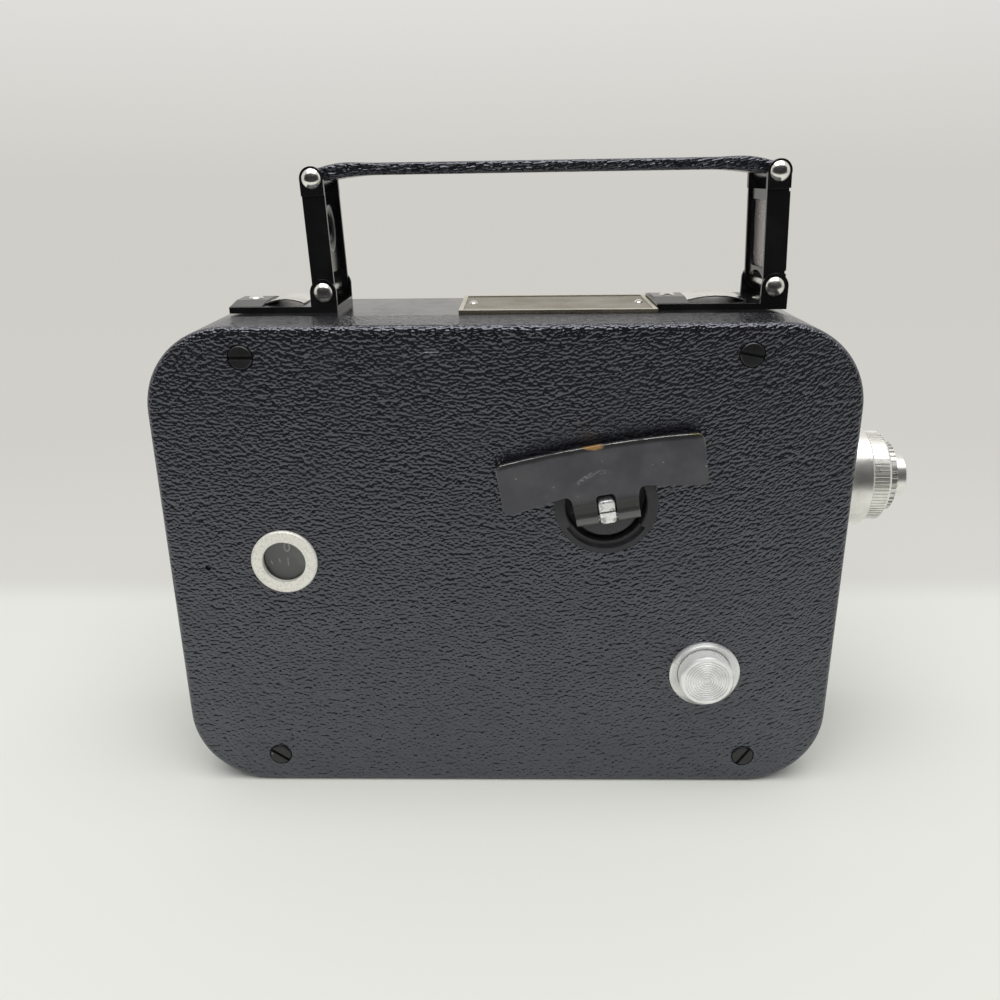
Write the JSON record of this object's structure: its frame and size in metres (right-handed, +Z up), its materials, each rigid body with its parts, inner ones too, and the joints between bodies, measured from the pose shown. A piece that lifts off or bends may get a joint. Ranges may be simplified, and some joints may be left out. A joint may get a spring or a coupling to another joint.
{
  "type": "movie camera",
  "caption": "Spring-wound movie camera: flat round-cornered case with grained leather sides, folding winding key, footage window, release button, lens and folding viewfinder handle.",
  "frame": {"origin": "centre of the mouth of the tripod socket, in the middle of the bottom face", "axes": "+X the way the lens looks, +Y from the winding key side to the film door, +Z up"},
  "size_m": [0.1828, 0.0542, 0.1514],
  "materials": {
    "black_enamel": "gloss",
    "worn_black": "satin, worn to brass at its edges",
    "black_screw": "satin",
    "plain_aluminium": "satin",
    "turned_aluminium": "turned",
    "black_leather": "grained",
    "bright_nickel": "bright",
    "satin_nickel": "satin, scratched",
    "plain_steel": "satin",
    "spring_steel": "bright",
    "plain_brass": "satin",
    "bare_plate": "dull, bare",
    "dark_ring": "serrated",
    "spool_black": "satin",
    "shutter_black": "dull",
    "dial_white": "dull black with pale numbers",
    "clear_glass": "clear",
    "lens_glass": "clear"
  },
  "bodies": {
    "case": {"main_frame": "black_enamel", "main_plate": "plain_aluminium", "mechanism_cover": "plain_aluminium", "cover_leather": "black_leather", "cover_screws": "black_screw", "key_cup": "black_enamel", "window_bezel": "satin_nickel", "window_glass": "clear_glass", "button_bezel": "bright_nickel", "button_spring": "spring_steel", "lever_bracket": "plain_steel", "movement_plate": "plain_brass", "gate_plate": "plain_steel", "pressure_spring": "spring_steel", "pressure_bracket": "plain_steel", "lens_flange": "bright_nickel", "lens_barrel": "bright_nickel", "lens_elements": "lens_glass", "tripod_bush": "plain_brass", "nameplate": "bare_plate", "top_rivets": "satin_nickel", "rear_hinge_base": "black_enamel", "front_hinge_base": "black_enamel", "leaf_springs": "spring_steel", "clip_blocks": "black_enamel", "lower_pivot_pins": "bright_nickel", "latch_keepers": "plain_steel"},
    "rear_upright": {"rear_sight_frame": "black_enamel", "rear_sight_ring": "black_enamel", "rear_upper_pin": "bright_nickel"},
    "front_upright": {"front_sight_frame": "black_enamel", "front_sight_glass": "clear_glass", "front_upper_pin": "bright_nickel"},
    "strap": {"handle_core": "spring_steel", "handle_leather": "black_leather"},
    "winder": {"winding_arbor": "bright_nickel", "key_hinge_pin": "bright_nickel"},
    "key": {"winding_key": "worn_black"},
    "pawl": {"ratchet_pawl": "plain_steel"},
    "dial": {"counter_dial": "dial_white"},
    "feeler": {"feeler_arm": "plain_steel"},
    "button": {"release_button": "turned_aluminium"},
    "lever": {"stop_lever": "plain_steel"},
    "barrel": {"mainspring_barrel": "plain_steel", "mainspring": "spring_steel"},
    "second": {"second_wheel": "plain_brass"},
    "third": {"third_wheel": "plain_brass"},
    "governor": {"governor": "plain_brass"},
    "idler": {"idler_gear": "plain_brass"},
    "takeup": {"takeup_spindle": "plain_steel", "takeup_spool": "spool_black"},
    "supply": {"supply_spindle": "plain_steel"},
    "shutter": {"shutter": "shutter_black"},
    "claw": {"claw": "spring_steel"},
    "pressure": {"pressure_plate": "plain_steel"},
    "focus": {"focus_ring": "turned_aluminium"},
    "aperture": {"aperture_ring": "dark_ring"},
    "door": {"film_door": "black_enamel", "door_leather": "black_leather"},
    "latch": {"door_latch": "bright_nickel"}
  },
  "joints": [
    {"name": "handle_fold", "type": "hinge", "parent": "case", "child": "rear_upright", "pos_m": [-0.04235, 0.0076, 0.12215], "axis": [0, -1, 0], "range_deg": [0, 73]},
    {"name": "front_upright_fold", "type": "hinge", "parent": "case", "child": "front_upright", "pos_m": [0.0634, 0.0076, 0.1227], "axis": [0, -1, 0], "range_deg": [0, 73]},
    {"name": "strap_level", "type": "hinge", "parent": "rear_upright", "child": "strap", "pos_m": [-0.04332, 0.0076, 0.14748], "axis": [0, -1, 0], "range_deg": [-73, 0]},
    {"name": "key_turn", "type": "hinge", "parent": "case", "child": "winder", "pos_m": [0.0237, -0.019, 0.0761], "axis": [0, 1, 0], "continuous": true},
    {"name": "key_fold", "type": "hinge", "parent": "winder", "child": "key", "pos_m": [0.02412, -0.0236, 0.07358], "axis": [0.9863, 0, 0.165], "range_deg": [0, 90]},
    {"name": "pawl_lift", "type": "hinge", "parent": "case", "child": "pawl", "pos_m": [0.0237, -0.0154, 0.0877], "axis": [0, -1, 0], "range_deg": [0, 8], "stiffness_Nm_per_rad": 0.0005, "springref_deg": -2.86},
    {"name": "film_feeler", "type": "hinge", "parent": "case", "child": "feeler", "pos_m": [-0.04401, -0.016, 0.03], "axis": [0, -1, 0], "range_deg": [0, 20], "stiffness_Nm_per_rad": 0.005, "springref_deg": -11.46},
    {"name": "counter_turn", "type": "hinge", "parent": "case", "child": "dial", "pos_m": [-0.052, -0.0194, 0.0492], "axis": [0, -1, 0], "range_deg": [-240, 0]},
    {"name": "release_press", "type": "slide", "parent": "case", "child": "button", "axis": [0, 1, 0], "range_m": [0, 0.0025], "stiffness_N_per_m": 300, "springref_m": -0.001, "deforming": ["button_spring"]},
    {"name": "stop_lever_rock", "type": "hinge", "parent": "case", "child": "lever", "pos_m": [0.04283, -0.0114, 0.03692], "axis": [-0.6235, 0, -0.7818], "range_deg": [-19, 19]},
    {"name": "shutter_turn", "type": "hinge", "parent": "case", "child": "shutter", "pos_m": [0.06, -0.0026, 0.0665], "axis": [1, 0, 0], "continuous": true},
    {"name": "third_wheel_turn", "type": "hinge", "parent": "case", "child": "third", "pos_m": [0.0505, -0.0034, 0.0665], "axis": [0, 1, 0], "continuous": true},
    {"name": "second_wheel_turn", "type": "hinge", "parent": "case", "child": "second", "pos_m": [0.04149, -0.0034, 0.05579], "axis": [0, 1, 0], "continuous": true},
    {"name": "governor_turn", "type": "hinge", "parent": "case", "child": "governor", "pos_m": [0.03159, -0.0034, 0.04589], "axis": [0, 1, 0], "continuous": true},
    {"name": "barrel_turn", "type": "hinge", "parent": "case", "child": "barrel", "pos_m": [0.0237, -0.009, 0.0761], "axis": [0, 1, 0], "continuous": true},
    {"name": "idler_turn", "type": "hinge", "parent": "case", "child": "idler", "pos_m": [0.00695, -0.0086, 0.04767], "axis": [0, 1, 0], "continuous": true},
    {"name": "takeup_turn", "type": "hinge", "parent": "case", "child": "takeup", "pos_m": [-0.00218, 0.005, 0.03216], "axis": [0, 1, 0], "continuous": true},
    {"name": "supply_turn", "type": "hinge", "parent": "case", "child": "supply", "pos_m": [-0.044, 0.005, 0.084], "axis": [0, 1, 0], "continuous": true},
    {"name": "claw_pull", "type": "slide", "parent": "case", "child": "claw", "axis": [0, 0, -1], "range_m": [0, 0.0038]},
    {"name": "pressure_plate_open", "type": "slide", "parent": "case", "child": "pressure", "axis": [-1, 0, 0], "range_m": [0, 0.002], "stiffness_N_per_m": 200, "springref_m": -0.002, "deforming": ["pressure_spring"]},
    {"name": "door_lift", "type": "slide", "parent": "case", "child": "door", "axis": [0, 1, 0], "range_m": [0, 0.003]},
    {"name": "latch_turn", "type": "hinge", "parent": "door", "child": "latch", "pos_m": [0.008, 0.022, 0.078], "axis": [0, 1, 0], "range_deg": [0, 90]},
    {"name": "focus_turn", "type": "hinge", "parent": "case", "child": "focus", "pos_m": [0.0945, 0.0076, 0.073], "axis": [1, 0, 0], "range_deg": [0, 270]},
    {"name": "aperture_turn", "type": "hinge", "parent": "case", "child": "aperture", "pos_m": [0.098, 0.0076, 0.073], "axis": [1, 0, 0], "range_deg": [0, 90]}
  ],
  "couplings": [
    {"joint": "front_upright_fold", "follows": "handle_fold", "ratio": 1},
    {"joint": "strap_level", "follows": "handle_fold", "ratio": -1},
    {"joint": "counter_turn", "follows": "film_feeler", "ratio": -12},
    {"joint": "stop_lever_rock", "follows": "release_press", "rad_per_m": -126.81},
    {"joint": "third_wheel_turn", "follows": "shutter_turn", "ratio": 0.42857},
    {"joint": "second_wheel_turn", "follows": "shutter_turn", "ratio": -0.071429},
    {"joint": "governor_turn", "follows": "shutter_turn", "ratio": 0.42857},
    {"joint": "barrel_turn", "follows": "shutter_turn", "ratio": 0.0089286},
    {"joint": "idler_turn", "follows": "shutter_turn", "ratio": -0.02381},
    {"joint": "takeup_turn", "follows": "shutter_turn", "ratio": 0.02381},
    {"joint": "latch_turn", "follows": "door_lift", "rad_per_m": 523.6}
  ]
}
